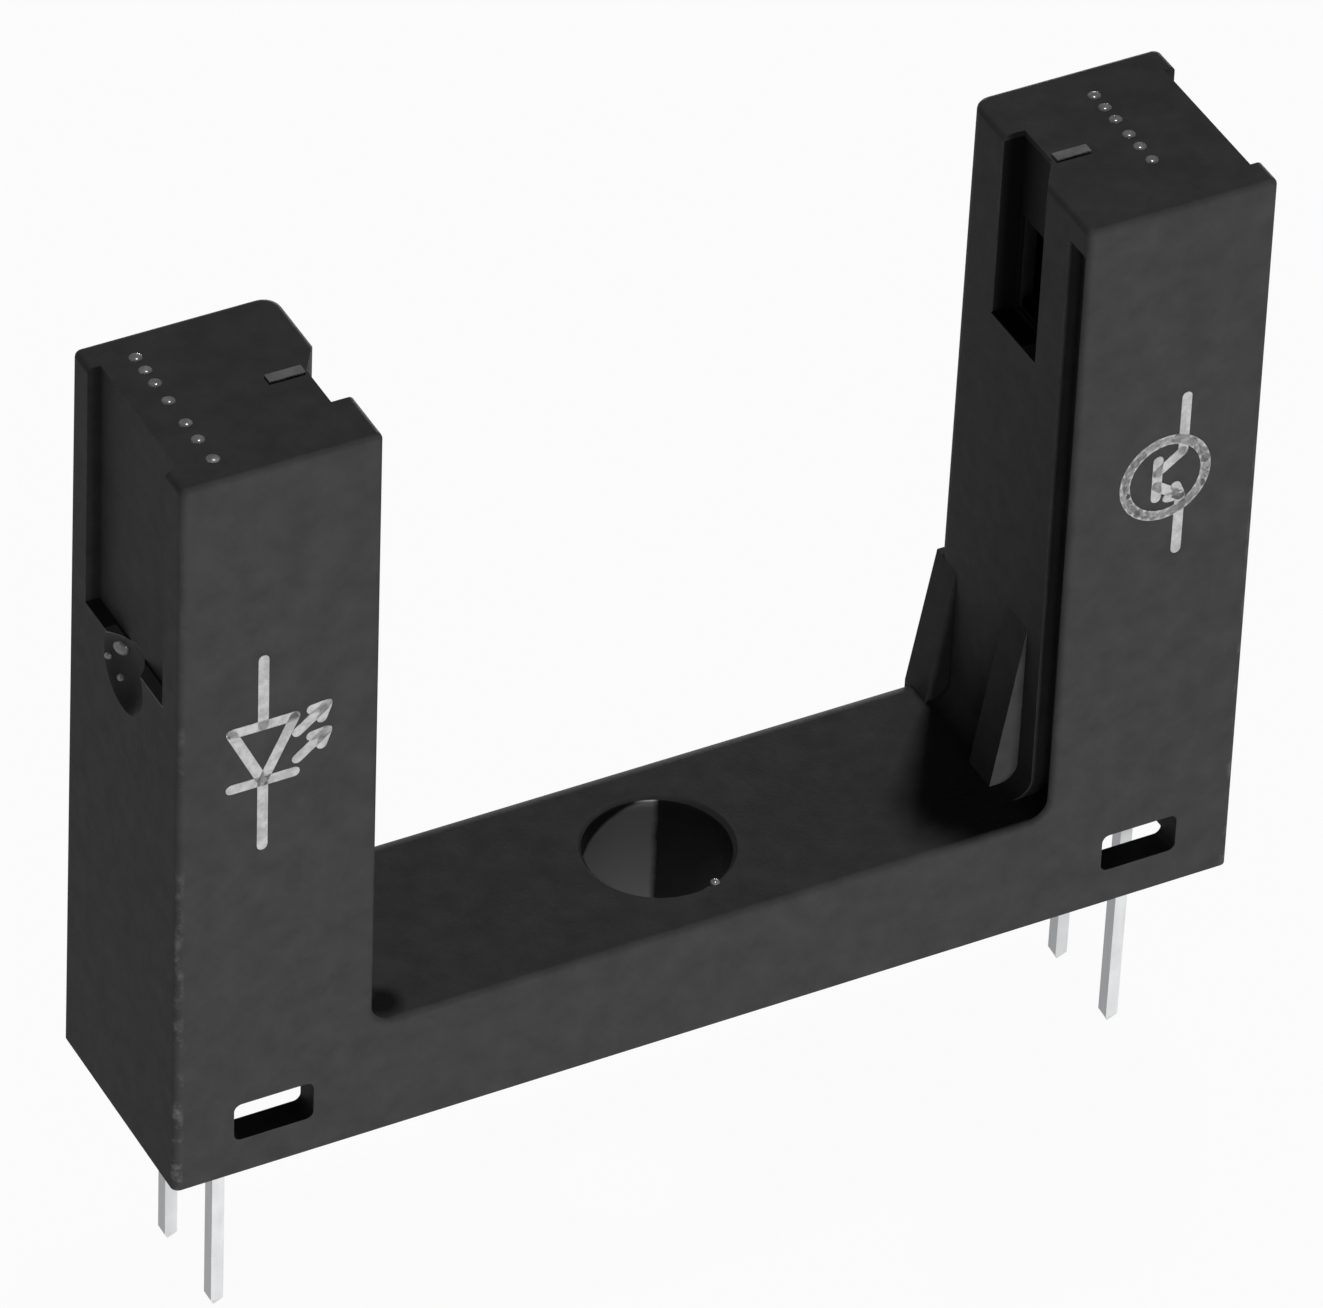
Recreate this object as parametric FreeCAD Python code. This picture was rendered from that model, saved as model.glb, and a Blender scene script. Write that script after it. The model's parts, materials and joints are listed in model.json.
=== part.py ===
import FreeCAD
import Part
import math
import os

# Slotted optical switch: a U-shaped moulded housing that holds an infrared
# emitter in one arm and a phototransistor in the other, facing across the slot.
# Millimetres. X runs along the length from the emitter to the detector, Y to the
# back, Z up. The origin is the centre of the fixing hole on the board seat.

# Housing outside
slot_width = 14.0
arm_length = 4.0
body_depth = 4.8
body_height = 16.0
bridge_height = 2.5
end_draft = 0.1
side_draft = 0.15
outer_edge_radius = 0.15
inner_edge_radius = 0.35
slot_corner_radius = 0.4
top_edge_radius = 0.12

# Housing inside: the arms are hollow and open below, the bridge is cored out
side_wall = 0.55
slot_wall = 0.55
end_wall = 0.6
roof = 0.8
bridge_skin = 0.9

# Fixing hole through the bridge
hole_radius = 1.4
hole_boss_wall = 0.8
hole_lead_in = 0.1

# Gussets at the foot of each arm, on the slot side
back_gusset_foot = 0.5
back_gusset_height = 3.0
front_gusset_foot = 0.58
front_gusset_height = 3.6
front_gusset_setback = 1.3
gusset_thickness = 0.8

# Sight notch down each slot wall and the window behind it. The notch has one square
# flank and one sloping flank. The notches sit half a turn apart, so both windows
# take in the optical axis at the middle of the depth.
optical_axis_drop = 2.85
notch_square_flank = 1.0
notch_floor_width = 1.0
notch_slope_width = 0.66
notch_depth = 0.44
window_width = 1.2
window_offset = 0.25
window_height = 2.1
window_sill = 0.1

# Upright groove in each slot wall, close behind the front edge
groove_width = 0.62
groove_depth = 0.32
groove_lip = 0.12
groove_below_top = 0.6

# Raised tick on each arm's top that shows where the optical axis runs
axis_tick_length = 0.7
axis_tick_width = 0.22
axis_tick_height = 0.06
axis_tick_setback = 0.5

# Inspection window near the foot of each arm, in the front wall
foot_window_width = 1.6
foot_window_height = 0.84
foot_window_centre_height = 1.2
foot_window_corner = 0.15

# Shallow recess down each end face
recess_width = 3.2
recess_depth = 0.25
recess_length = 5.2

# Staked dimple in each end wall, whose inner bulge locks the element in
stake_radius = 1.0
stake_depth = 0.42
stake_wall = 0.5

# Resin package of each element
package_below_axis = 2.2
package_back_gap = 0.2
package_edge = 0.25
lens_radius = 1.05
lens_rise = 0.35
locating_rib_width = 0.4
fit_clearance = 0.05

# Leads, stamped from flat strip
lead_setback = 1.5
lead_pitch = 2.0
lead_thickness = 0.25
lead_width = 0.3
lead_drop = 4.5
lead_point = 0.25
pad_height = 1.3
pad_past_axis = 0.5
post_height = 0.8
post_reach = 0.35

# Dies and bond wires
emitter_die_side = 0.35
detector_die_side = 0.8
die_height = 0.15
wire_radius = 0.02
wire_stand = 0.08

# Places that follow from the sizes above
half_slot = slot_width / 2
half_length = half_slot + arm_length
half_depth = body_depth / 2
optical_height = body_height - optical_axis_drop
cavity_top = body_height - roof
lead_x = half_length - lead_setback
overshoot = 1.0


def end_face_x(z):
    """How far from the middle the drafted end face stands at height z."""
    return half_length - end_draft * z / body_height


def side_face_y(z):
    """How far from the middle the drafted front and back faces stand at height z."""
    return half_depth - side_draft * z / body_height


def box(x_low, x_high, y_low, y_high, z_low, z_high):
    corner = FreeCAD.Vector(x_low, y_low, z_low)
    return Part.makeBox(x_high - x_low, y_high - y_low, z_high - z_low, corner)


def drafted_block(x_low, x_high, y_half, z_low, z_high, x_low_top, x_high_top, y_half_top):
    """A block whose front, back and end faces lean in on the way up."""
    block = Part.makeWedge(
        x_low, z_low, -y_half, -y_half_top, x_low_top,
        x_high, z_high, y_half, y_half_top, x_high_top,
    )
    block.rotate(FreeCAD.Vector(0, 0, 0), FreeCAD.Vector(1, 0, 0), 90)
    return block


def prism_along_y(points, y_low, y_high):
    """A closed outline of (x, z) points, drawn at y_low and carried to y_high."""
    corners = [FreeCAD.Vector(x, y_low, z) for x, z in points]
    outline = Part.makePolygon(corners + corners[:1])
    return Part.Face(outline).extrude(FreeCAD.Vector(0, y_high - y_low, 0))


def plate_across_x(points, x_low, x_high):
    """A closed outline of (y, z) points, drawn at x_low and carried to x_high."""
    corners = [FreeCAD.Vector(x_low, y, z) for y, z in points]
    outline = Part.makePolygon(corners + corners[:1])
    return Part.Face(outline).extrude(FreeCAD.Vector(x_high - x_low, 0, 0))


def prism_upwards(points, z_low, z_high):
    """A closed outline of (x, y) points, drawn at z_low and carried to z_high."""
    corners = [FreeCAD.Vector(x, y, z_low) for x, y in points]
    outline = Part.makePolygon(corners + corners[:1])
    return Part.Face(outline).extrude(FreeCAD.Vector(0, 0, z_high - z_low))


def turned_round(shape):
    """The same piece for the other arm: half a turn about the upright axis."""
    copy = shape.copy()
    copy.rotate(FreeCAD.Vector(0, 0, 0), FreeCAD.Vector(0, 0, 1), 180)
    return copy


def mirrored(shape):
    """The same piece for the other arm, seen in a mirror across the slot."""
    return shape.mirror(FreeCAD.Vector(0, 0, 0), FreeCAD.Vector(1, 0, 0))


def upright_edges(shape, behind_slot):
    """Upright corners of the arms: the slot's two at the back, or all the others."""
    chosen = []
    for edge in shape.Edges:
        middle = edge.BoundBox.Center
        at_slot_back = abs(middle.x) < (half_slot + half_length) / 2 and middle.y > 0
        if edge.BoundBox.ZLength > body_height / 2 and at_slot_back == behind_slot:
            chosen.append(edge)
    return chosen


def top_edges(shape):
    """The edges round the top of each arm."""
    return [edge for edge in shape.Edges if edge.BoundBox.ZMin > body_height - 1e-3]


def rounded_u():
    """The outside of the housing: the U, with its upright corners rounded."""
    body = outer_block().cut(slot_cutter())
    body = body.makeFillet(outer_edge_radius, upright_edges(body, False))
    body = body.makeFillet(inner_edge_radius, upright_edges(body, True))
    return body.makeFillet(top_edge_radius, top_edges(body))


def outer_block():
    return drafted_block(
        -half_length, half_length, half_depth, 0, body_height,
        -end_face_x(body_height), end_face_x(body_height), side_face_y(body_height),
    )


def slot_cutter():
    cutter = box(
        -half_slot, half_slot, -body_depth, body_depth,
        bridge_height, body_height + overshoot,
    )
    lower_edges = [
        edge for edge in cutter.Edges
        if edge.BoundBox.ZMax < bridge_height + overshoot / 2 and edge.BoundBox.YLength > body_depth
    ]
    return cutter.makeFillet(slot_corner_radius, lower_edges)


def arm_cavity():
    """The hollow of the detector arm, drafted like the outside."""
    slot_side = half_slot + slot_wall
    return drafted_block(
        slot_side, end_face_x(0) - end_wall, side_face_y(0) - side_wall, 0, cavity_top,
        slot_side, end_face_x(cavity_top) - end_wall, side_face_y(cavity_top) - side_wall,
    )


def bridge_pocket():
    """Core-out under the bridge, between the hole's boss and the arm's slot wall."""
    return box(
        hole_radius + hole_boss_wall, half_slot - slot_wall,
        -half_depth + side_wall, half_depth - side_wall,
        -overshoot, bridge_height - bridge_skin,
    )


def gusset(foot, height, y_low, y_high):
    """A tapering rib from the slot's floor up the detector arm."""
    inside_wall = half_slot + slot_wall / 2
    inside_floor = bridge_height - bridge_skin / 2
    points = [
        (half_slot - foot, inside_floor),
        (half_slot - foot, bridge_height),
        (half_slot, bridge_height + height),
        (inside_wall, bridge_height + height),
        (inside_wall, inside_floor),
    ]
    return prism_along_y(points, y_low, y_high)


def arm_gussets():
    back = gusset(
        back_gusset_foot, back_gusset_height,
        half_depth - gusset_thickness, half_depth,
    )
    front_y = -half_depth + front_gusset_setback
    front = gusset(
        front_gusset_foot, front_gusset_height,
        front_y, front_y + gusset_thickness,
    )
    return back.fuse(front).common(outer_block())


def sight_opening():
    """Notch down the slot wall of the detector arm and the window behind it."""
    sill = optical_height - window_height / 2
    mouth_x = half_slot - overshoot
    floor_x = half_slot + notch_depth
    slope_y = notch_square_flank - notch_floor_width
    mouth_y = slope_y - notch_slope_width
    outline = [
        (mouth_x, notch_square_flank),
        (floor_x, notch_square_flank),
        (floor_x, slope_y),
        (half_slot, mouth_y),
        (mouth_x, mouth_y),
    ]
    notch = prism_upwards(outline, sill - window_sill, body_height + overshoot)
    window = box(
        mouth_x, half_slot + slot_wall + fit_clearance,
        window_offset - window_width / 2, window_offset + window_width / 2,
        sill, sill + window_height,
    )
    return notch.fuse(window)


def edge_groove():
    """Groove up the slot wall of the detector arm, close behind its front edge."""
    top = body_height - groove_below_top
    outline = []
    for z in (bridge_height, top):
        outline.append((groove_lip - side_face_y(z), z))
    for z in (top, bridge_height):
        outline.append((groove_lip + groove_width - side_face_y(z), z))
    return plate_across_x(outline, half_slot - overshoot, half_slot + groove_depth)


def axis_tick():
    start = half_slot + axis_tick_setback
    return box(
        start, start + axis_tick_length, -axis_tick_width / 2, axis_tick_width / 2,
        body_height - roof / 2, body_height + axis_tick_height,
    )


def foot_window():
    window = box(
        arm_centre_x() - foot_window_width / 2, arm_centre_x() + foot_window_width / 2,
        -half_depth - overshoot, -half_depth + side_wall + side_draft,
        foot_window_centre_height - foot_window_height / 2,
        foot_window_centre_height + foot_window_height / 2,
    )
    through_edges = [edge for edge in window.Edges if edge.BoundBox.YLength > side_wall]
    return window.makeFillet(foot_window_corner, through_edges)


def arm_centre_x():
    return (half_slot + half_length) / 2


def end_recess():
    return box(
        end_face_x(body_height) - recess_depth, half_length + overshoot,
        -recess_width / 2, recess_width / 2,
        body_height - recess_length, body_height + overshoot,
    )


def package_front_x():
    """The detector package's flat side round the lens, just clear of its ribs."""
    return half_slot + slot_wall + lens_rise + fit_clearance


def package_back_x():
    return end_face_x(cavity_top) - end_wall - package_back_gap


def package_half_depth():
    return side_face_y(cavity_top) - side_wall - fit_clearance


def package_bottom_z():
    return optical_height - package_below_axis


def stake_centre():
    """Centre of the staked dimple, so its bulge just clears the package's foot."""
    bulge_radius = stake_radius + stake_wall
    reach = stake_radius - stake_depth
    rough_x = end_face_x(package_bottom_z()) + reach
    across = rough_x - package_back_x()
    drop = math.sqrt(max(bulge_radius ** 2 - across ** 2, 0))
    z = package_bottom_z() - drop - fit_clearance
    return FreeCAD.Vector(end_face_x(z) + reach, 0, z)


def stake_bulge():
    bulge = Part.makeSphere(stake_radius + stake_wall, stake_centre())
    return bulge.common(outer_block())


def locating_ribs():
    """Two upright ribs behind the slot wall that the package stands against."""
    slot_side = half_slot + slot_wall
    spread = package_half_depth() - locating_rib_width
    ribs = []
    for side in (-1, 1):
        inner = side * (spread - locating_rib_width / 2)
        outer = side * (spread + locating_rib_width / 2)
        rib = box(
            slot_side - slot_wall / 2, slot_side + lens_rise,
            min(inner, outer), max(inner, outer),
            package_bottom_z(), cavity_top + roof / 2,
        )
        ribs.append(rib)
    return ribs[0].fuse(ribs[1])


def fixing_hole():
    """Round hole with a small flared lead-in at its upper mouth."""
    shaft = Part.makeCylinder(
        hole_radius, bridge_height + 2 * overshoot, FreeCAD.Vector(0, 0, -overshoot),
    )
    flare = Part.makeCone(
        hole_radius, hole_radius + 2 * hole_lead_in, 2 * hole_lead_in,
        FreeCAD.Vector(0, 0, bridge_height - hole_lead_in),
    )
    return shaft.fuse(flare)


def both_arms(shape):
    return [shape, mirrored(shape)]


def make_housing():
    """One black moulding: bridge, two hollow arms, windows, hole and gussets."""
    hollow = rounded_u().cut(both_arms(arm_cavity()) + both_arms(bridge_pocket()))
    added = both_arms(arm_gussets()) + both_arms(stake_bulge()) + both_arms(locating_ribs())
    solid = hollow.fuse(added + both_arms(axis_tick()))
    sight = sight_opening()
    cutters = [sight, turned_round(sight), fixing_hole()]
    cutters += both_arms(edge_groove()) + both_arms(foot_window()) + both_arms(end_recess())
    cutters += both_arms(Part.makeSphere(stake_radius, stake_centre()))
    return solid.cut(cutters).removeSplitter()


def lead_outline(y, top, head_low, head_y_low, head_y_high):
    """Strip with a pointed tip below and a wider head at the top, as (y, z) points."""
    tip = -lead_drop
    left = y - lead_width / 2
    right = y + lead_width / 2
    return [
        (y, tip),
        (right, tip + lead_point),
        (right, head_low),
        (head_y_high, head_low),
        (head_y_high, top),
        (head_y_low, top),
        (head_y_low, head_low),
        (left, head_low),
        (left, tip + lead_point),
    ]


def without_repeats(points):
    kept = []
    for point in points:
        if not kept or math.dist(point, kept[-1]) > 1e-6:
            kept.append(point)
    return kept


def lead_plate(points):
    """The strip of the outline's shape, its tip also pointed across its thickness."""
    near = lead_face_x()
    far = near + lead_thickness
    plate = plate_across_x(without_repeats(points), near, far)
    tip_shape = prism_along_y([
        (lead_x, -lead_drop),
        (far, lead_point - lead_drop),
        (far, body_height),
        (near, body_height),
        (near, lead_point - lead_drop),
    ], -half_depth, half_depth)
    return plate.common(tip_shape)


def make_pad_lead():
    """The lead that carries the die on a pad across the optical axis."""
    y = -lead_pitch / 2
    top = optical_height + pad_height / 2
    head_low = optical_height - pad_height / 2
    return lead_plate(lead_outline(y, top, head_low, y - lead_width / 2, pad_past_axis))


def make_post_lead():
    """The lead that the bond wire comes down on."""
    y = lead_pitch / 2
    top = optical_height + post_height / 2
    head_low = optical_height - post_height / 2
    return lead_plate(lead_outline(y, top, head_low, y - post_reach, y + lead_width / 2))


def lead_face_x():
    """The side of the lead strip that faces the slot."""
    return lead_x - lead_thickness / 2


def make_die(side):
    return box(
        lead_face_x() - die_height, lead_face_x(), -side / 2, side / 2,
        optical_height - side / 2, optical_height + side / 2,
    )


def make_bond_wire():
    """Thin wire from the top of the die over to the post, in one upright loop."""
    die_top = lead_face_x() - die_height
    crown = die_top - wire_stand
    post_y = lead_pitch / 2 - post_reach / 2
    radius = post_y / 2
    start = FreeCAD.Vector(die_top, 0, optical_height)
    rise = FreeCAD.Vector(crown, 0, optical_height)
    over = FreeCAD.Vector(crown - radius, radius, optical_height)
    fall = FreeCAD.Vector(crown, post_y, optical_height)
    finish = FreeCAD.Vector(lead_face_x(), post_y, optical_height)
    path = Part.Wire([
        Part.LineSegment(start, rise).toShape(),
        Part.Arc(rise, over, fall).toShape(),
        Part.LineSegment(fall, finish).toShape(),
    ])
    section = Part.Circle(start, FreeCAD.Vector(-1, 0, 0), wire_radius).toShape()
    return path.makePipeShell([Part.Wire([section])], True, False)


def make_package(inner_pieces):
    """Moulded resin body with a lens towards the slot, cast round its inner pieces."""
    top = cavity_top - fit_clearance
    block = box(
        package_front_x(), package_back_x(), -package_half_depth(), package_half_depth(),
        package_bottom_z(), top,
    )
    long_edges = [edge for edge in block.Edges if edge.BoundBox.ZLength > package_below_axis]
    body = block.makeChamfer(package_edge, long_edges)
    ball_centre = FreeCAD.Vector(package_front_x() - lens_rise + lens_radius, 0, optical_height)
    return body.fuse(Part.makeSphere(lens_radius, ball_centre)).cut(inner_pieces)


def make_element(die_side):
    """Package, pad lead, post lead, die and wire of one element, in the detector arm."""
    pad_lead = make_pad_lead()
    post_lead = make_post_lead()
    die = make_die(die_side)
    wire = make_bond_wire()
    package = make_package([pad_lead, post_lead, die, wire])
    return package, pad_lead, post_lead, die, wire


def export(name, shape):
    shape.exportStep("parts/" + name + ".step")
    print(name, "solids", len(shape.Solids), "valid", shape.isValid(), "volume", round(shape.Volume, 4))


os.makedirs("parts", exist_ok=True)

export("housing", make_housing())

package, pad_lead, post_lead, die, wire = make_element(detector_die_side)
export("detector_package", package)
export("detector_collector_lead", pad_lead)
export("detector_emitter_lead", post_lead)
export("detector_die", die)
export("detector_bond_wire", wire)

package, pad_lead, post_lead, die, wire = [
    turned_round(piece) for piece in make_element(emitter_die_side)
]
export("emitter_package", package)
export("emitter_cathode_lead", pad_lead)
export("emitter_anode_lead", post_lead)
export("emitter_die", die)
export("emitter_bond_wire", wire)
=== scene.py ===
import json
import math
import bmesh
import bpy
from mathutils import Matrix, Quaternion, Vector

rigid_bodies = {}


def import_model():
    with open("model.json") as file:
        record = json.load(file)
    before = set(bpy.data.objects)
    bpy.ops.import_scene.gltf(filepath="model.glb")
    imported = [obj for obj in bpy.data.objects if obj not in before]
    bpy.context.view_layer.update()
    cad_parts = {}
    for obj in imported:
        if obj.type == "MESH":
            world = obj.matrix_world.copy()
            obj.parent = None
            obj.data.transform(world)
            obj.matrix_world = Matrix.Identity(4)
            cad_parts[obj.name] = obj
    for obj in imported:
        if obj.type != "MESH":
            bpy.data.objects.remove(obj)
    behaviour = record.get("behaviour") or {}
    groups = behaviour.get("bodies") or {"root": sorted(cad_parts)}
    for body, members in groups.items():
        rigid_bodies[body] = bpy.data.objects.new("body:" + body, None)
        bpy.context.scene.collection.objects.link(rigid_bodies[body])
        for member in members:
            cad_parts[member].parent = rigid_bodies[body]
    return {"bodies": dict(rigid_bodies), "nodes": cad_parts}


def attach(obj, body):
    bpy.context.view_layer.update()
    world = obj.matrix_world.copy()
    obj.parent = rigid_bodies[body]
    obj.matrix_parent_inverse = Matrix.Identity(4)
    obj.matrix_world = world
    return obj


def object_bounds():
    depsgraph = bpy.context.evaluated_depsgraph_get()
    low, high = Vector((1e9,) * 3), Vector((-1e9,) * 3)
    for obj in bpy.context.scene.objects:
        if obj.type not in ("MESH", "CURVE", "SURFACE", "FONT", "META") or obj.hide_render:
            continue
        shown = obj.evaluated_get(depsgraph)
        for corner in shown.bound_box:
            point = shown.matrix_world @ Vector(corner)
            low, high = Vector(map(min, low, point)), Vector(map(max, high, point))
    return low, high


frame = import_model()
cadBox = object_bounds()  # the solids' own box, before anything is dressed
bodyName = list(frame["bodies"])[0]
mm = 0.001
print("frame loaded:", len(frame["nodes"]), "solids")

# Sizes of the moulding that the dressing has to meet, in millimetres
housing = {
    "halfLength": 11.0,
    "halfDepth": 2.4,
    "height": 16.0,
    "bridgeHeight": 2.5,
    "sideDraft": 0.15,
    "stakeX": 11.52,
    "stakeZ": 10.38,
    "stakeRadius": 1.0,
    "holeRadius": 1.4,
}


# Small helpers

def linearFromHex(hexText):
    parts = [int(hexText[i:i + 2], 16) / 255 for i in (1, 3, 5)]
    lin = [c / 12.92 if c <= 0.04045 else ((c + 0.055) / 1.055) ** 2.4 for c in parts]
    return (*lin, 1.0)


def addNode(tree, kind, settings=None, links=None):
    # one node with its attributes or socket values, and the sockets that feed it
    node = tree.nodes.new(kind)
    for key, value in (settings or {}).items():
        if isinstance(key, str) and hasattr(node, key):
            setattr(node, key, value)
        else:
            node.inputs[key].default_value = value
    for key, source in (links or {}).items():
        tree.links.new(source, node.inputs[key])
    return node


def newMaterial(name):
    material = bpy.data.materials.new(name)
    material.use_nodes = True
    tree = material.node_tree
    tree.nodes.clear()
    output = addNode(tree, "ShaderNodeOutputMaterial")
    return material, tree, output


def frontFaceY(z):
    return -(housing["halfDepth"] - housing["sideDraft"] * z / housing["height"])


# Materials

plasticLook = {
    "base": "#2f2f2f",
    "cloud": "#373737",
    "cloudMm": 0.6,
    "cloudSpan": (0.36, 0.7),  # the stretch of the noise over which base turns to cloud
    "scuff": "#8a8a8a",
    "scuffMm": 0.5,
    "scuffReachMm": 0.2,
    "scuffSpan": (0.5, 0.7),
    "scuffMost": 0.9,
    # zones run from least to most in millimetres, X counted outwards from the middle
    # and Y turned half round with the arm
    # painted shade in the sight notches, and painted light on the end recesses' ledges
    "notchShade": "#101010",
    "notchShadeZone": {"X": (7.03, 7.5), "Y": (-0.15, 1.05), "Z": (11.9, 15.88)},
    "ledgeLight": "#606060",
    "ledgeLightZone": {"X": (10.7, 11.02), "Y": (-0.8, 1.62), "Z": (10.76, 10.83)},
    # painted shadow at the left arm's front foot
    "footShadow": "#020202",
    "footShadowAtMm": (-6.6, -1.8, 2.5),
    "footShadowEdgeMm": (0.52, 0.24),
    # painted shade in the bore, and painted light on its side towards the emitter
    "boreShade": "#161616",
    "boreSkinMm": 0.015,
    "boreLight": "#c8c8c8",
    "boreLightEdgeMm": (0.74, 0.62),
    "boreLightWobbleMm": 0.12,
    "boreLightTopMm": (2.33, 2.23),
    "boreLightSlope": 0.35,
    "tickWearAndHighlight": "#848484",
    "tickFootMm": 0.03,
    "roughness": 0.6,
    "stakeRoughness": 0.16,
    "stakeFadeMm": (-0.02, 0.015),
    "glossMm": 0.35,
    "glossSpread": 0.1,
    "grainMm": 0.09,
    "grainDepthMm": 0.012,
    "grainStrength": 0.35,
    "ior": 1.57,
    "shine": 0.07,  # low, because the grain scatters most of the shine
}


def makeMouldedPlastic():
    # Black glass-filled PBT, injection moulded against a spark-eroded tool: a dull
    # black with faint clouding, a very fine grain and pale rubbed corners.
    look = plasticLook
    material, tree, output = newMaterial("mouldedBlackPbt")
    place = addNode(tree, "ShaderNodeTexCoord").outputs["Object"]
    split = addNode(tree, "ShaderNodeSeparateXYZ", None, {"Vector": place})
    side = addNode(tree, "ShaderNodeMath", {"operation": "SIGN"}, {0: split.outputs["X"]})
    outward = addNode(tree, "ShaderNodeMath", {"operation": "ABSOLUTE"}, {0: split.outputs["X"]})
    depth = addNode(tree, "ShaderNodeMath", {"operation": "ABSOLUTE"}, {0: split.outputs["Y"]})
    turnedY = addNode(
        tree, "ShaderNodeMath", {"operation": "MULTIPLY"},
        {0: split.outputs["Y"], 1: side.outputs[0]},
    )
    clouds = addNode(
        tree, "ShaderNodeTexNoise",
        {"Scale": 1 / (look["cloudMm"] * mm), "Detail": 5.0, "Roughness": 0.62},
        {"Vector": place},
    )
    cloudRamp = addNode(
        tree, "ShaderNodeMapRange",
        {"From Min": look["cloudSpan"][0], "From Max": look["cloudSpan"][1]},
        {"Value": clouds.outputs["Fac"]},
    )
    colour = addNode(
        tree, "ShaderNodeMix",
        {"data_type": "RGBA", 6: linearFromHex(look["base"]), 7: linearFromHex(look["cloud"])},
        {0: cloudRamp.outputs["Result"]},
    )

    # Rubbed upright corners: near an end face and near the front or back at once
    scuffs = addNode(
        tree, "ShaderNodeTexNoise",
        {"Scale": 1 / (look["scuffMm"] * mm), "Detail": 6.0, "Roughness": 0.7},
        {"Vector": place},
    )
    scuffMask = addNode(
        tree, "ShaderNodeMapRange",
        {
            "From Min": look["scuffSpan"][0],
            "From Max": look["scuffSpan"][1],
            "To Max": look["scuffMost"],
        },
        {"Value": scuffs.outputs["Fac"]},
    ).outputs["Result"]
    for away, halfMm in ((outward, housing["halfLength"]), (depth, housing["halfDepth"])):
        nearFace = addNode(
            tree, "ShaderNodeMapRange",
            {"From Min": (halfMm - look["scuffReachMm"]) * mm, "From Max": halfMm * mm},
            {"Value": away.outputs[0]},
        )
        scuffMask = addNode(
            tree, "ShaderNodeMath", {"operation": "MULTIPLY"},
            {0: scuffMask, 1: nearFace.outputs["Result"]},
        ).outputs[0]

    # In the sight notches the colour is darkened: painted shade for the notches' shadow. On
    # the end recesses' ledges it is lightened: painted light against the arm's own shadow.
    zoneMasks = {}
    for zoneName in ("notchShadeZone", "ledgeLightZone"):
        inside = []
        for axis, source in (
            ("X", outward.outputs[0]), ("Y", turnedY.outputs[0]), ("Z", split.outputs["Z"]),
        ):
            least, most = look[zoneName][axis]
            inside.append(addNode(
                tree, "ShaderNodeMath",
                {"operation": "COMPARE", 1: (least + most) / 2 * mm, 2: (most - least) / 2 * mm},
                {0: source},
            ).outputs[0])
        inPlan = addNode(
            tree, "ShaderNodeMath", {"operation": "MULTIPLY"}, {0: inside[0], 1: inside[1]},
        )
        zoneMasks[zoneName] = addNode(
            tree, "ShaderNodeMath", {"operation": "MULTIPLY"},
            {0: inPlan.outputs[0], 1: inside[2]},
        ).outputs[0]

    # Painted shadow: a near-black spot on the bridge beside the left arm's groove, at its foot
    toFootShadow = addNode(
        tree, "ShaderNodeVectorMath",
        {"operation": "DISTANCE", 1: Vector(look["footShadowAtMm"]) * mm}, {0: place},
    )
    footShadowMask = addNode(
        tree, "ShaderNodeMapRange",
        {
            "From Min": look["footShadowEdgeMm"][0] * mm,
            "From Max": look["footShadowEdgeMm"][1] * mm,
        },
        {"Value": toFootShadow.outputs["Value"]},
    )

    # The bore's wall is darkened: painted shade. Its side towards the emitter is painted pale
    # from a little below the rim: painted light where that wall would be lit.
    flatPlace = addNode(
        tree, "ShaderNodeCombineXYZ", None,
        {"X": split.outputs["X"], "Y": split.outputs["Y"]},
    )
    fromAxis = addNode(
        tree, "ShaderNodeVectorMath", {"operation": "LENGTH"}, {0: flatPlace.outputs[0]},
    )
    inBore = addNode(
        tree, "ShaderNodeMath",
        {"operation": "LESS_THAN", 1: (housing["holeRadius"] + look["boreSkinMm"]) * mm},
        {0: fromAxis.outputs["Value"]},
    )
    wobble = addNode(
        tree, "ShaderNodeMath",
        {"operation": "MULTIPLY_ADD", 1: look["boreLightWobbleMm"] * mm},
        {0: clouds.outputs["Fac"], 2: split.outputs["X"]},
    )
    slant = addNode(
        tree, "ShaderNodeMath", {"operation": "MULTIPLY_ADD", 1: -look["boreLightSlope"]},
        {0: split.outputs["X"], 2: split.outputs["Z"]},
    )
    boreLightMask = inBore.outputs[0]
    for source, edgeMm in ((wobble, look["boreLightEdgeMm"]), (slant, look["boreLightTopMm"])):
        edge = addNode(
            tree, "ShaderNodeMapRange",
            {"From Min": edgeMm[0] * mm, "From Max": edgeMm[1] * mm},
            {"Value": source.outputs[0]},
        )
        boreLightMask = addNode(
            tree, "ShaderNodeMath", {"operation": "MULTIPLY"},
            {0: boreLightMask, 1: edge.outputs["Result"]},
        ).outputs[0]

    # The ticks over the optical axis stand proud; their tops are painted paler: partly handling
    # wear, partly a painted highlight
    onTick = addNode(
        tree, "ShaderNodeMath",
        {"operation": "GREATER_THAN", 1: (housing["height"] + look["tickFootMm"]) * mm},
        {0: split.outputs["Z"]},
    )
    tickMask = addNode(
        tree, "ShaderNodeMath", {"operation": "MULTIPLY"},
        {0: onTick.outputs[0], 1: scuffs.outputs["Fac"]},
    )

    # Each colour lies over the ones before it, where its mask is 1
    for colourName, mask in (
        ("scuff", scuffMask),
        ("notchShade", zoneMasks["notchShadeZone"]),
        ("ledgeLight", zoneMasks["ledgeLightZone"]),
        ("footShadow", footShadowMask.outputs["Result"]),
        ("boreShade", inBore.outputs[0]),
        ("boreLight", boreLightMask),
        ("tickWearAndHighlight", tickMask.outputs[0]),
    ):
        colour = addNode(
            tree, "ShaderNodeMix", {"data_type": "RGBA", 7: linearFromHex(look[colourName])},
            {0: mask, 6: colour.outputs[2]},
        )

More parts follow.
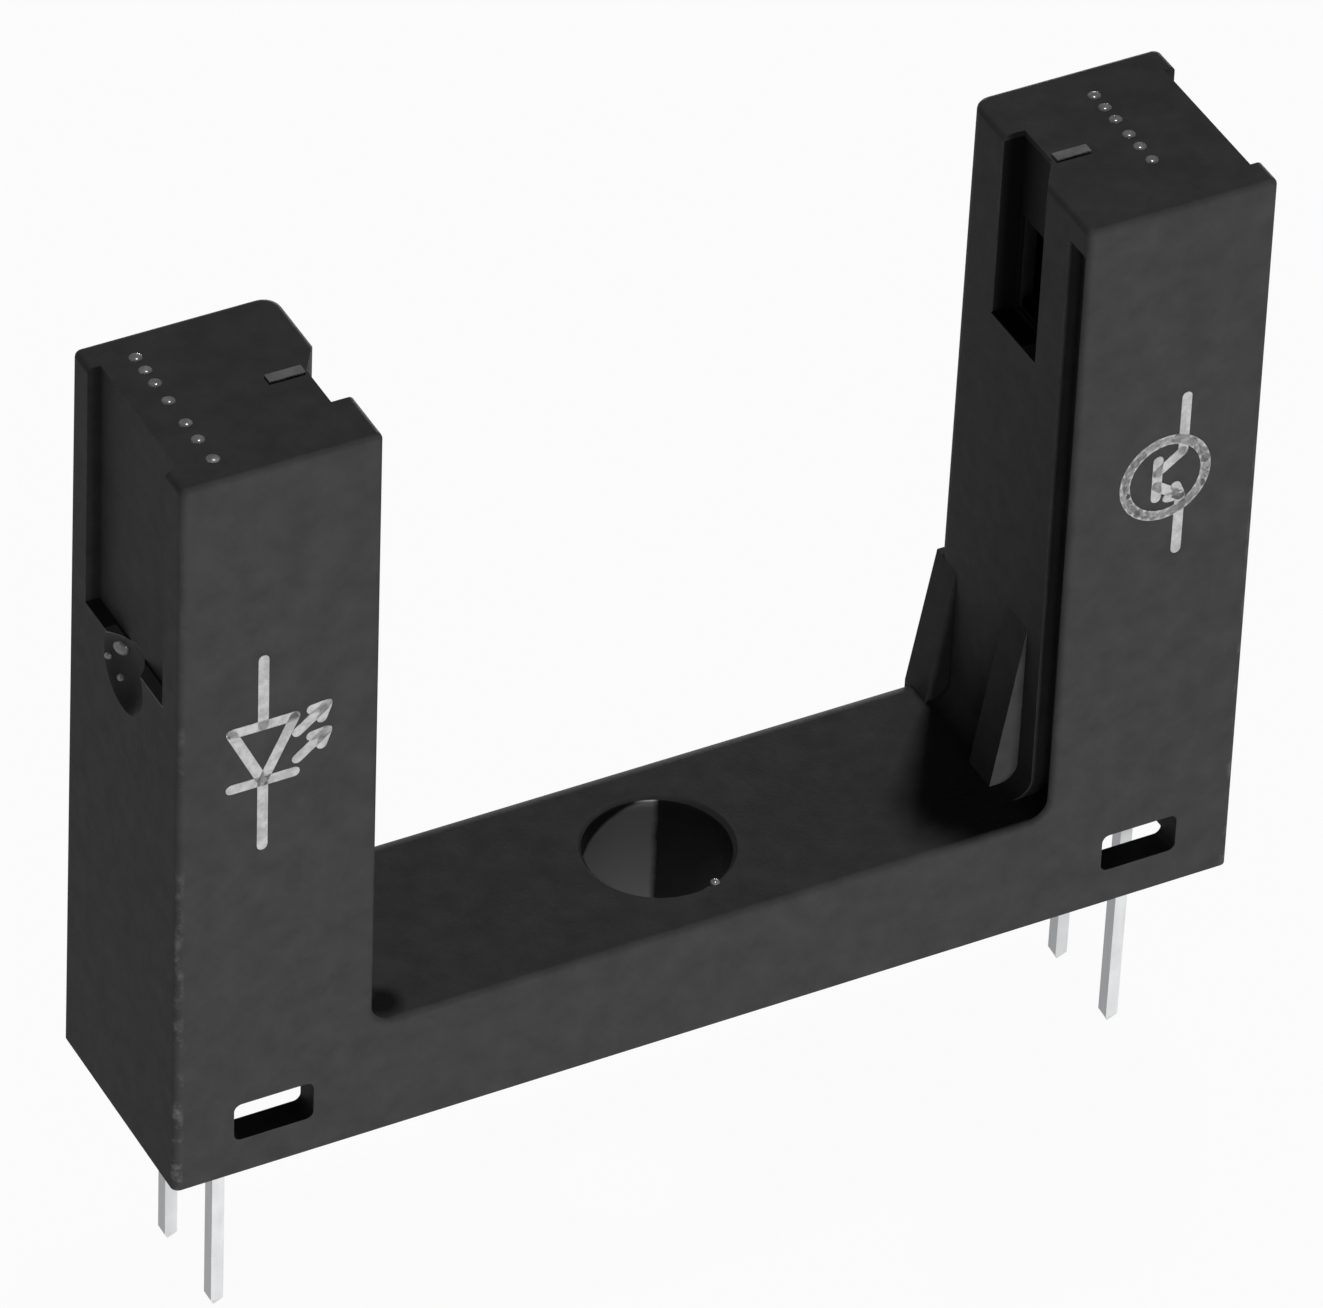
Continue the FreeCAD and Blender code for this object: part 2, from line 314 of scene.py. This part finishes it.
    # The stakes were pressed in with a smooth hot tool, so they shine
    stakeX = addNode(
        tree, "ShaderNodeMath", {"operation": "MULTIPLY", 1: housing["stakeX"] * mm},
        {0: side.outputs[0]},
    )
    stakeCentre = addNode(
        tree, "ShaderNodeCombineXYZ", {"Y": 0.0, "Z": housing["stakeZ"] * mm},
        {"X": stakeX.outputs[0]},
    )
    reach = addNode(
        tree, "ShaderNodeVectorMath", {"operation": "DISTANCE"},
        {0: place, 1: stakeCentre.outputs[0]},
    )
    stakeFade = addNode(
        tree, "ShaderNodeMapRange",
        {
            "From Min": (housing["stakeRadius"] + look["stakeFadeMm"][0]) * mm,
            "From Max": (housing["stakeRadius"] + look["stakeFadeMm"][1]) * mm,
            "To Min": look["stakeRoughness"],
            "To Max": look["roughness"],
        },
        {"Value": reach.outputs["Value"]},
    )
    gloss = addNode(
        tree, "ShaderNodeTexNoise", {"Scale": 1 / (look["glossMm"] * mm), "Detail": 3.0},
        {"Vector": place},
    )
    roughness = addNode(
        tree, "ShaderNodeMath", {"operation": "MULTIPLY_ADD", 1: look["glossSpread"]},
        {0: gloss.outputs["Fac"], 2: stakeFade.outputs["Result"]},
    )

    grain = addNode(
        tree, "ShaderNodeTexNoise",
        {"Scale": 1 / (look["grainMm"] * mm), "Detail": 2.0, "Roughness": 0.5},
        {"Vector": place},
    )
    bump = addNode(
        tree, "ShaderNodeBump",
        {"Strength": look["grainStrength"], "Distance": look["grainDepthMm"] * mm},
        {"Height": grain.outputs["Fac"]},
    )
    shader = addNode(
        tree, "ShaderNodeBsdfPrincipled", {"IOR": look["ior"], "Specular IOR Level": look["shine"]},
        {
            "Base Color": colour.outputs[2],
            "Roughness": roughness.outputs[0],
            "Normal": bump.outputs[0],
        },
    )
    tree.links.new(shader.outputs[0], output.inputs["Surface"])
    return material


rubbedAndHighlitLook = {"base": "#8a8a8a", "cloud": "#4a4a4a", "paleNoiseMm": 0.15, "roughness": 0.2, "ior": 1.57}


def makeRubbedAndHighlitPlastic():
    # The same black PBT on the small marks and beads that stand proud: handling or the
    # hot tool left them smooth, so each one catches the lamp. Their pale grey is a painted
    # highlight, with some wear.
    look = rubbedAndHighlitLook
    material, tree, output = newMaterial("rubbedAndHighlitBlackPbt")
    place = addNode(tree, "ShaderNodeTexCoord").outputs["Object"]
    paleNoise = addNode(
        tree, "ShaderNodeTexNoise", {"Scale": 1 / (look["paleNoiseMm"] * mm), "Detail": 2.0},
        {"Vector": place},
    )
    colour = addNode(
        tree, "ShaderNodeMix",
        {"data_type": "RGBA", 6: linearFromHex(look["cloud"]), 7: linearFromHex(look["base"])},
        {0: paleNoise.outputs["Fac"]},
    )
    shader = addNode(
        tree, "ShaderNodeBsdfPrincipled", {"IOR": look["ior"], "Roughness": look["roughness"]},
        {"Base Color": colour.outputs[2]},
    )
    tree.links.new(shader.outputs[0], output.inputs["Surface"])
    return material


leadLook = {
    "bright": "#dddede",
    "dull": "#c3c4c6",
    "sideShade": "#97989b",
    "sideShadeSpan": (0.45, 0.85),  # how squarely a face looks along X
    "streakMm": 0.06,
    "streakStretch": 0.05,
    "streakStrength": 0.25,
    "streakDepthMm": 0.004,
    "spotMm": 0.5,
    "roughness": 0.3,
    "roughnessSpread": 0.18,
}


def makeTinnedStrip():
    # Tin over stamped copper alloy: bright and soft, streaked along the strip by
    # rolling, with duller spots where it was handled. The faces that look along X are
    # painted greyer than the cut edges: painted shade.
    look = leadLook
    material, tree, output = newMaterial("tinnedStrip")
    coordinates = addNode(tree, "ShaderNodeTexCoord")
    place = coordinates.outputs["Object"]
    stretched = addNode(
        tree, "ShaderNodeMapping", {"Scale": (1.0, 1.0, look["streakStretch"])},
        {"Vector": place},
    )
    streaks = addNode(
        tree, "ShaderNodeTexNoise",
        {"Scale": 1 / (look["streakMm"] * mm), "Detail": 3.0}, {"Vector": stretched.outputs[0]},
    )
    spots = addNode(
        tree, "ShaderNodeTexNoise",
        {"Scale": 1 / (look["spotMm"] * mm), "Detail": 4.0}, {"Vector": place},
    )
    colour = addNode(
        tree, "ShaderNodeMix",
        {"data_type": "RGBA", 6: linearFromHex(look["bright"]), 7: linearFromHex(look["dull"])},
        {0: spots.outputs["Fac"]},
    )
    facing = addNode(
        tree, "ShaderNodeSeparateXYZ", None, {"Vector": coordinates.outputs["Normal"]},
    )
    acrossX = addNode(tree, "ShaderNodeMath", {"operation": "ABSOLUTE"}, {0: facing.outputs["X"]})
    onShadedSide = addNode(
        tree, "ShaderNodeMapRange",
        {"From Min": look["sideShadeSpan"][0], "From Max": look["sideShadeSpan"][1]},
        {"Value": acrossX.outputs[0]},
    )
    faced = addNode(
        tree, "ShaderNodeMix", {"data_type": "RGBA", 7: linearFromHex(look["sideShade"])},
        {0: onShadedSide.outputs["Result"], 6: colour.outputs[2]},
    )
    roughness = addNode(
        tree, "ShaderNodeMath",
        {"operation": "MULTIPLY_ADD", 1: look["roughnessSpread"], 2: look["roughness"]},
        {0: streaks.outputs["Fac"]},
    )
    bump = addNode(
        tree, "ShaderNodeBump",
        {"Strength": look["streakStrength"], "Distance": look["streakDepthMm"] * mm},
        {"Height": streaks.outputs["Fac"]},
    )
    shader = addNode(
        tree, "ShaderNodeBsdfPrincipled", {"Metallic": 1.0},
        {
            "Base Color": faced.outputs[2],
            "Roughness": roughness.outputs[0],
            "Normal": bump.outputs[0],
        },
    )
    tree.links.new(shader.outputs[0], output.inputs["Surface"])
    return material


resinLook = {
    "clear": {"base": "#b9c6dd", "cloud": "#a9b8d4", "transmission": 0.75, "roughness": 0.06},
    "black": {"base": "#0d0a0f", "cloud": "#161118", "transmission": 0.0, "roughness": 0.1},
    "flowMm": 0.8,
    "flowBend": 0.6,
    "glossSpread": 0.06,
    "waveStrength": 0.15,
    "waveDepthMm": 0.01,
    "ior": 1.55,
}


def makeResin(name, kind):
    # Transfer-moulded epoxy: glossy, a little wavy where it shrank, with faint flow.
    look = resinLook
    resin = look[kind]
    material, tree, output = newMaterial(name)
    place = addNode(tree, "ShaderNodeTexCoord").outputs["Object"]
    flow = addNode(
        tree, "ShaderNodeTexNoise",
        {"Scale": 1 / (look["flowMm"] * mm), "Detail": 3.0, "Distortion": look["flowBend"]},
        {"Vector": place},
    )
    colour = addNode(
        tree, "ShaderNodeMix",
        {"data_type": "RGBA", 6: linearFromHex(resin["base"]), 7: linearFromHex(resin["cloud"])},
        {0: flow.outputs["Fac"]},
    )
    gloss = addNode(
        tree, "ShaderNodeMath",
        {"operation": "MULTIPLY_ADD", 1: look["glossSpread"], 2: resin["roughness"]},
        {0: flow.outputs["Fac"]},
    )
    bump = addNode(
        tree, "ShaderNodeBump",
        {"Strength": look["waveStrength"], "Distance": look["waveDepthMm"] * mm},
        {"Height": flow.outputs["Fac"]},
    )
    shader = addNode(
        tree, "ShaderNodeBsdfPrincipled",
        {"IOR": look["ior"], "Transmission Weight": resin["transmission"]},
        {
            "Base Color": colour.outputs[2],
            "Roughness": gloss.outputs[0],
            "Normal": bump.outputs[0],
        },
    )
    tree.links.new(shader.outputs[0], output.inputs["Surface"])
    return material


crystalLook = {
    "galliumArsenide": {"base": "#5b5560", "edge": "#8f8a70", "siteMm": 0.35},
    "silicon": {"base": "#2b2f42", "edge": "#8f9093", "siteMm": 0.4},
    "edgeShare": 0.05,
    "roughness": 0.18,
    "ior": 3.4,
}


def makeSawnCrystal(name, kind):
    # A diced chip: polished top with a faint grid of its own layers, dull sawn sides.
    look = crystalLook
    crystal = look[kind]
    material, tree, output = newMaterial(name)
    place = addNode(tree, "ShaderNodeTexCoord").outputs["Object"]
    grid = addNode(
        tree, "ShaderNodeTexBrick",
        {
            "Scale": 1 / (crystal["siteMm"] * mm), "offset": 0.0,
            "Color1": linearFromHex(crystal["base"]), "Color2": linearFromHex(crystal["base"]),
            "Mortar": linearFromHex(crystal["edge"]), "Mortar Size": look["edgeShare"],
            "Brick Width": 1.0, "Row Height": 1.0,
        },
    )
    turned = addNode(
        tree, "ShaderNodeMapping", {"Rotation": (0.0, math.pi / 2, 0.0)}, {"Vector": place},
    )
    tree.links.new(turned.outputs[0], grid.inputs["Vector"])
    shader = addNode(
        tree, "ShaderNodeBsdfPrincipled", {"IOR": look["ior"], "Roughness": look["roughness"]},
        {"Base Color": grid.outputs["Color"]},
    )
    tree.links.new(shader.outputs[0], output.inputs["Surface"])
    return material


goldLook = {"base": "#e3b75a", "pale": "#f2d083", "lineMm": 0.02, "roughness": 0.22}


def makeGoldWire():
    # Drawn gold: smooth, warm, with the die's fine lines along it.
    look = goldLook
    material, tree, output = newMaterial("drawnGold")
    place = addNode(tree, "ShaderNodeTexCoord").outputs["Object"]
    lines = addNode(
        tree, "ShaderNodeTexNoise", {"Scale": 1 / (look["lineMm"] * mm)}, {"Vector": place},
    )
    colour = addNode(
        tree, "ShaderNodeMix",
        {"data_type": "RGBA", 6: linearFromHex(look["base"]), 7: linearFromHex(look["pale"])},
        {0: lines.outputs["Fac"]},
    )
    shader = addNode(
        tree, "ShaderNodeBsdfPrincipled", {"Metallic": 1.0, "Roughness": look["roughness"]},
        {"Base Color": colour.outputs[2]},
    )
    tree.links.new(shader.outputs[0], output.inputs["Surface"])
    return material


inkLook = {
    "ink": "#a9a9a9",
    "thin": "#8e8e8e",
    "speckMm": 0.2,
    "coverSpan": (0.38, 0.62),
    "roughness": 0.65,
    "ior": 1.5,
}


def makePadPrintInk():
    # Pad-printed ink: matt pale grey, thinner in patches so the black shows through.
    look = inkLook
    material, tree, output = newMaterial("padPrintedInk")
    place = addNode(tree, "ShaderNodeTexCoord").outputs["Object"]
    patches = addNode(
        tree, "ShaderNodeTexNoise",
        {"Scale": 1 / (look["speckMm"] * mm), "Detail": 4.0, "Roughness": 0.65},
        {"Vector": place},
    )
    cover = addNode(
        tree, "ShaderNodeMapRange",
        {"From Min": look["coverSpan"][0], "From Max": look["coverSpan"][1]},
        {"Value": patches.outputs["Fac"]},
    )
    colour = addNode(
        tree, "ShaderNodeMix",
        {"data_type": "RGBA", 6: linearFromHex(look["thin"]), 7: linearFromHex(look["ink"])},
        {0: cover.outputs["Result"]},
    )
    shader = addNode(
        tree, "ShaderNodeBsdfPrincipled", {"Roughness": look["roughness"], "IOR": look["ior"]},
        {"Base Color": colour.outputs[2]},
    )
    tree.links.new(shader.outputs[0], output.inputs["Surface"])
    return material


materials = {
    "plastic": makeMouldedPlastic(),
    "rubbedAndHighlit": makeRubbedAndHighlitPlastic(),
    "tin": makeTinnedStrip(),
    "clearResin": makeResin("clearEpoxy", "clear"),
    "blackResin": makeResin("infraredPassEpoxy", "black"),
    "emitterCrystal": makeSawnCrystal("galliumArsenideDie", "galliumArsenide"),
    "silicon": makeSawnCrystal("siliconDie", "silicon"),
    "gold": makeGoldWire(),
    "ink": makePadPrintInk(),
}
nodeMaterial = {
    "housing": "plastic",
    "emitter_package": "clearResin",
    "detector_package": "blackResin",
    "emitter_cathode_lead": "tin",
    "emitter_anode_lead": "tin",
    "detector_collector_lead": "tin",
    "detector_emitter_lead": "tin",
    "emitter_die": "emitterCrystal",
    "detector_die": "silicon",
    "emitter_bond_wire": "gold",
    "detector_bond_wire": "gold",
}
for nodeName, materialName in nodeMaterial.items():
    node = frame["nodes"][nodeName]
    for slotIndex in range(max(1, len(node.material_slots))):
        if node.material_slots:
            node.material_slots[slotIndex].material = materials[materialName]
        else:
            node.data.materials.append(materials[materialName])
print("materials set on", len(nodeMaterial), "solids")


# Softened edges on the solids

edgeLook = {
    "housingMm": 0.05,
    "leadsMm": 0.03,
    "segments": 2,
    "mergeBelowDegrees": 0.6,
    "roundAboveDegrees": 28.0,
}


def softenEdges(node, widthMm):
    # merges the flat triangles, then rounds each sharp edge as a mould or a stamp does
    flat = node.modifiers.new("mergeFlats", "DECIMATE")
    flat.decimate_type = "DISSOLVE"
    flat.angle_limit = math.radians(edgeLook["mergeBelowDegrees"])
    soft = node.modifiers.new("softEdges", "BEVEL")
    soft.width = widthMm * mm
    soft.segments = edgeLook["segments"]
    soft.limit_method = "ANGLE"
    soft.angle_limit = math.radians(edgeLook["roundAboveDegrees"])
    soft.use_clamp_overlap = True
    soft.harden_normals = True


softenEdges(frame["nodes"]["housing"], edgeLook["housingMm"])
for leadName in nodeMaterial:
    if leadName.endswith("_lead"):
        softenEdges(frame["nodes"][leadName], edgeLook["leadsMm"])
print("edges softened")


# Printed circuit symbols on the front

printLook = {
    "strokeMm": 0.21,
    "proudMm": 0.012,
    "capSteps": 6,
    "ringSteps": 28,
    "barbDegrees": 32,
    "left": {"x": -9.3, "z": 9.7, "tall": 4.2, "wide": 2.0},
    "right": {"x": 8.95, "z": 9.9, "tall": 3.5, "wide": 1.7},
}


def addPiece(name, mesh, materialName):
    piece = bpy.data.objects.new(name, mesh)
    bpy.context.scene.collection.objects.link(piece)
    piece.data.materials.append(materials[materialName])
    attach(piece, bodyName)


def strokeOutline(start, end, width):
    # a straight stroke with half-round ends, as a closed loop of flat points
    start, end = Vector(start), Vector(end)
    along = (end - start).normalized()
    turn = math.atan2(along.y, along.x)
    points = []
    for centre, first in ((end, -90), (start, 90)):
        for step in range(printLook["capSteps"] + 1):
            angle = turn + math.radians(first + step * 180 / printLook["capSteps"])
            points.append(centre + Vector((math.cos(angle), math.sin(angle))) * width / 2)
    return points


def frontPlacement(xMm, zMm):
    # from flat print coordinates to the leaning front face
    lean = math.atan2(housing["sideDraft"], housing["height"])
    turn = Matrix.Rotation(math.pi / 2 - lean, 4, "X")
    spot = Vector((xMm, frontFaceY(zMm), zMm)) * mm
    return Matrix.Translation(spot) @ turn @ Matrix.Scale(mm, 4)


def buildPrint(name, strokes, placement):
    mesh = bpy.data.meshes.new(name)
    bm = bmesh.new()
    for start, end in strokes:
        outline = strokeOutline(start, end, printLook["strokeMm"])
        top = bm.faces.new([bm.verts.new((p.x, p.y, printLook["proudMm"])) for p in outline])
        walls = bmesh.ops.extrude_face_region(bm, geom=[top])
        for vert in (v for v in walls["geom"] if isinstance(v, bmesh.types.BMVert)):
            vert.co.z = -printLook["proudMm"]
    bmesh.ops.recalc_face_normals(bm, faces=bm.faces)
    bm.transform(placement)
    bm.to_mesh(mesh)
    bm.free()
    return mesh


def arrow(tail, tip, head):
    # a shaft and the two strokes of its head
    tail, tip = Vector(tail), Vector(tip)
    back = (tail - tip).normalized() * head
    wings = []
    for side in (-1, 1):
        wing = back.copy()
        wing.rotate(Matrix.Rotation(math.radians(side * printLook["barbDegrees"]), 2))
        wings.append((tip, tip + wing))
    return [(tail, tip)] + wings


def ring(centre, radius):
    spots = []
    for step in range(printLook["ringSteps"] + 1):
        angle = 2 * math.pi * step / printLook["ringSteps"]
        spots.append(Vector(centre) + Vector((math.cos(angle), math.sin(angle))) * radius)
    return list(zip(spots[:-1], spots[1:]))


def emitterSymbol(tall, wide):
    # the drawing-board symbol of a light emitting diode, standing upright: its lines
    # at shares of half its height and width, its two arrows in millimetres
    h, w = tall / 2, wide / 2
    top, bar, reach = h * 0.3, -h * 0.3, w * 0.62
    strokes = [
        ((0, h), (0, top)),
        ((0, bar), (0, -h)),
        ((-reach, top), (reach, top)),
        ((-reach, top), (0, bar)),
        ((reach, top), (0, bar)),
        ((-reach, bar), (reach, bar)),
    ]
    for rise in (0.0, 0.6):
        strokes += arrow((reach + 0.05, -0.35 + rise), (w + 0.25, 0.1 + rise), 0.3)
    return strokes


def detectorSymbol(tall, wide):
    # the drawing-board symbol of a phototransistor in its ring, at shares of its size
    h, w = tall / 2, wide / 2
    strokes = [
        ((-w * 0.2, -w * 0.5), (-w * 0.2, w * 0.5)),
        ((-w * 0.2, w * 0.18), (w * 0.4, w * 0.6)),
        ((w * 0.4, w * 0.6), (w * 0.4, h)),
        ((w * 0.4, -w * 0.6), (w * 0.4, -h)),
    ]
    strokes += arrow((-w * 0.2, -w * 0.18), (w * 0.4, -w * 0.6), 0.26)
    strokes += ring((0, 0), w)
    return strokes


for side, symbol in (("left", emitterSymbol), ("right", detectorSymbol)):
    place = printLook[side]
    pieceName = "printed_symbol_" + side
    strokes = symbol(place["tall"], place["wide"])
    mesh = buildPrint(pieceName, strokes, frontPlacement(place["x"], place["z"]))
    addPiece(pieceName, mesh, "ink")
print("printed symbols added")


# Moulded pips on the arms' tops

def buildBalls(name, lays, segments):
    # smooth balls in one mesh, each flattened and laid by a matrix of its own
    mesh = bpy.data.meshes.new(name)
    bm = bmesh.new()
    around, along = segments
    for lay in lays:
        bmesh.ops.create_uvsphere(
            bm, u_segments=around, v_segments=along, radius=mm, matrix=lay,
        )
    for face in bm.faces:
        face.smooth = True
    bm.to_mesh(mesh)
    bm.free()
    return mesh


pipLook = {
    "radiusMm": 0.13,
    "riseMm": 0.05,
    "segments": (16, 10),
    "left": {"x": -10.0, "ys": (1.55, 1.15, 0.75, 0.2, -0.5, -1.0, -1.6)},
    "right": {"x": 9.1, "ys": (1.4, 1.0, 0.6, 0.1, -0.3, -0.75)},
}

# Low domes, each a flattened ball sunk to its rim
for side in ("left", "right"):
    row = pipLook[side]
    flatten = Matrix.Diagonal((pipLook["radiusMm"], pipLook["radiusMm"], pipLook["riseMm"], 1.0))
    lays = [
        Matrix.Translation(Vector((row["x"], yMm, housing["height"])) * mm) @ flatten
        for yMm in row["ys"]
    ]
    pieceName = "moulded_pips_" + side
    mesh = buildBalls(pieceName, lays, pipLook["segments"])
    # their pale colour is a painted highlight
    addPiece(pieceName, mesh, "rubbedAndHighlit")
print("moulded pips added")


# Beads of melted plastic in the stakes

beadLook = {
    # turn round the stake's own axis and tilt away from it in degrees, then radius in mm
    "beads": ((-6.0, 35.0, 0.18), (14.0, 50.0, 0.08), (48.0, 42.0, 0.08)),
    "flatness": 0.45,
    "segments": (16, 10),
}


def beadLays(side):
    # each bead is a flattened ball, sunk to its middle in the wall of the dimple
    lays = []
    centre = Vector((side * housing["stakeX"], 0.0, housing["stakeZ"]))
    for turn, tilt, radius in beadLook["beads"]:
        around, away = math.radians(turn), math.radians(tilt)
        inward = Vector((
            -side * math.cos(away),
            -side * math.sin(away) * math.cos(around),
            -math.sin(away) * math.sin(around),
        ))
        spot = centre + inward * housing["stakeRadius"]
        flatten = Matrix.Diagonal((radius, radius, radius * beadLook["flatness"], 1.0))
        facing = inward.to_track_quat("Z", "Y").to_matrix().to_4x4()
        lays.append(Matrix.Translation(spot * mm) @ facing @ flatten)
    return lays


for side, direction in (("left", -1), ("right", 1)):
    pieceName = "stake_beads_" + side
    mesh = buildBalls(pieceName, beadLays(direction), beadLook["segments"])
    # their pale colour is a painted highlight
    addPiece(pieceName, mesh, "rubbedAndHighlit")
print("stake beads added")


# A tiny pale bump half sunk in the fixing hole's rim: a painted highlight on the rim

rimHighlightLook = {"x": 0.49, "y": -1.38, "radiusMm": 0.09, "riseMm": 0.04, "segments": (12, 8)}

rimHighlightPlace = Vector((rimHighlightLook["x"], rimHighlightLook["y"], housing["bridgeHeight"])) * mm
rimHighlightShape = Matrix.Diagonal((rimHighlightLook["radiusMm"], rimHighlightLook["radiusMm"], rimHighlightLook["riseMm"], 1.0))
rimHighlightMesh = buildBalls(
    "hole_rim_highlight_bump", [Matrix.Translation(rimHighlightPlace) @ rimHighlightShape], rimHighlightLook["segments"],
)
addPiece("hole_rim_highlight_bump", rimHighlightMesh, "rubbedAndHighlit")
print("rim nick added")


# Floor

floorLook = {"card": "#8e8e8c", "pale": "#989897", "fibreMm": 2.5, "sizeMm": 1600.0, "glow": 0.96}


def makeFloorCard():
    # Matt white card: the camera, and anything that mirrors or sees through to it,
    # sees it nearly white, while the light on it stays plain.
    look = floorLook
    material, tree, output = newMaterial("mattWhiteCard")
    place = addNode(tree, "ShaderNodeTexCoord").outputs["Object"]
    fibres = addNode(
        tree, "ShaderNodeTexNoise", {"Scale": 1 / (look["fibreMm"] * mm), "Detail": 4.0},
        {"Vector": place},
    )
    colour = addNode(
        tree, "ShaderNodeMix",
        {"data_type": "RGBA", 6: linearFromHex(look["card"]), 7: linearFromHex(look["pale"])},
        {0: fibres.outputs["Fac"]},
    )
    card = addNode(tree, "ShaderNodeBsdfDiffuse", None, {"Color": colour.outputs[2]})
    glow = addNode(tree, "ShaderNodeEmission", {"Strength": 1.0, "Color": (1.0, 1.0, 1.0, 1.0)})
    path = addNode(tree, "ShaderNodeLightPath")
    seen = addNode(
        tree, "ShaderNodeMath", {"operation": "MAXIMUM"},
        {0: path.outputs["Is Camera Ray"], 1: path.outputs["Is Glossy Ray"]},
    )
    seenThrough = addNode(
        tree, "ShaderNodeMath", {"operation": "MAXIMUM"},
        {0: seen.outputs[0], 1: path.outputs["Is Transmission Ray"]},
    )
    share = addNode(
        tree, "ShaderNodeMath", {"operation": "MULTIPLY", 1: look["glow"]},
        {0: seenThrough.outputs[0]},
    )
    mixed = addNode(
        tree, "ShaderNodeMixShader", None,
        {0: share.outputs[0], 1: card.outputs[0], 2: glow.outputs[0]},
    )
    tree.links.new(mixed.outputs[0], output.inputs["Surface"])
    return material


def buildFloor():
    mesh = bpy.data.meshes.new("floor_card")
    half = floorLook["sizeMm"] * mm / 2
    level = cadBox[0][2]
    corners = [
        (-half, -half, level), (half, -half, level), (half, half, level), (-half, half, level),
    ]
    mesh.from_pydata(corners, [], [(0, 1, 2, 3)])
    floor = bpy.data.objects.new("floor_card", mesh)
    bpy.context.scene.collection.objects.link(floor)
    mesh.materials.append(makeFloorCard())


buildFloor()
print("floor laid")


# Light

lightLook = {
    "worldStrength": 0.05,
    "lamps": {
        "frontSoftbox": {"towards": (0.04, -1.0, -0.03), "watts": 0.96, "sizeMm": (70.0, 24.0)},
        "highLamp": {"towards": (0.194, 0.209, 0.96), "watts": 0.35, "sizeMm": (14.0, 14.0)},
        "frontLeftCard": {"towards": (-0.38, -0.925, 0.0), "watts": 0.1, "sizeMm": (60.0, 40.0)},
        "leftCard": {"towards": (-0.98, 0.12, 0.05), "watts": 0.035, "sizeMm": (90.0, 60.0)},
        "highLeftCard": {"towards": (-0.9, 0.1, 0.4), "watts": 0.04, "sizeMm": (60.0, 60.0)},
        "backRightCard": {"towards": (0.6, 0.8, -0.03), "watts": 0.45, "sizeMm": (90.0, 20.0)},
    },
    "distanceMm": 250.0,
    "aimMm": (0.0, 0.0, 8.0),
}


def buildWorld():
    world = bpy.data.worlds.new("studio")
    bpy.context.scene.world = world
    world.use_nodes = True
    tree = world.node_tree
    tree.nodes.clear()
    path = addNode(tree, "ShaderNodeLightPath")
    seen = addNode(
        tree, "ShaderNodeMath", {"operation": "MAXIMUM"},
        {0: path.outputs["Is Camera Ray"], 1: path.outputs["Is Transmission Ray"]},
    )
    strength = addNode(
        tree, "ShaderNodeMapRange", {"To Min": lightLook["worldStrength"], "To Max": 1.0},
        {"Value": seen.outputs[0]},
    )
    sky = addNode(
        tree, "ShaderNodeBackground", {"Color": (1.0, 1.0, 1.0, 1.0)},
        {"Strength": strength.outputs["Result"]},
    )
    output = addNode(tree, "ShaderNodeOutputWorld")
    tree.links.new(sky.outputs[0], output.inputs["Surface"])


def buildLamps():
    aim = Vector(lightLook["aimMm"]) * mm
    for lampName, lamp in lightLook["lamps"].items():
        data = bpy.data.lights.new(lampName, "AREA")
        data.energy = lamp["watts"]
        data.shape = "RECTANGLE"
        data.size, data.size_y = (length * mm for length in lamp["sizeMm"])
        light = bpy.data.objects.new(lampName, data)
        bpy.context.scene.collection.objects.link(light)
        direction = Vector(lamp["towards"]).normalized()
        light.location = aim + direction * lightLook["distanceMm"] * mm
        light.rotation_mode = "QUATERNION"
        light.rotation_quaternion = direction.to_track_quat("Z", "Y")


buildWorld()
buildLamps()
print("lamps placed")


# Camera, at the photograph's angle

cameraLook = {
    "eyeMm": (-71.97, -130.003, 127.677),
    "sightLine": (0.37567, 0.67951, -0.6302),
    "rollDegrees": 2.664,
    "lensMm": 285.17,
    "sensorMm": 36.0,
    "nearestM": 0.005,
    "farthestM": 10.0,
}


def buildCamera():
    data = bpy.data.cameras.new("camera")
    data.sensor_fit = "HORIZONTAL"
    data.sensor_width = cameraLook["sensorMm"]
    data.lens = cameraLook["lensMm"]
    data.clip_start = cameraLook["nearestM"]
    data.clip_end = cameraLook["farthestM"]
    camera = bpy.data.objects.new("camera", data)
    bpy.context.scene.collection.objects.link(camera)
    camera.location = Vector(cameraLook["eyeMm"]) * mm
    camera.rotation_mode = "QUATERNION"
    straight = Vector(cameraLook["sightLine"]).to_track_quat("-Z", "Y")
    roll = Quaternion((0.0, 0.0, 1.0), math.radians(cameraLook["rollDegrees"]))
    camera.rotation_quaternion = straight @ roll
    bpy.context.scene.camera = camera


buildCamera()
bpy.context.scene.view_settings.view_transform = "Standard"
print("camera placed")
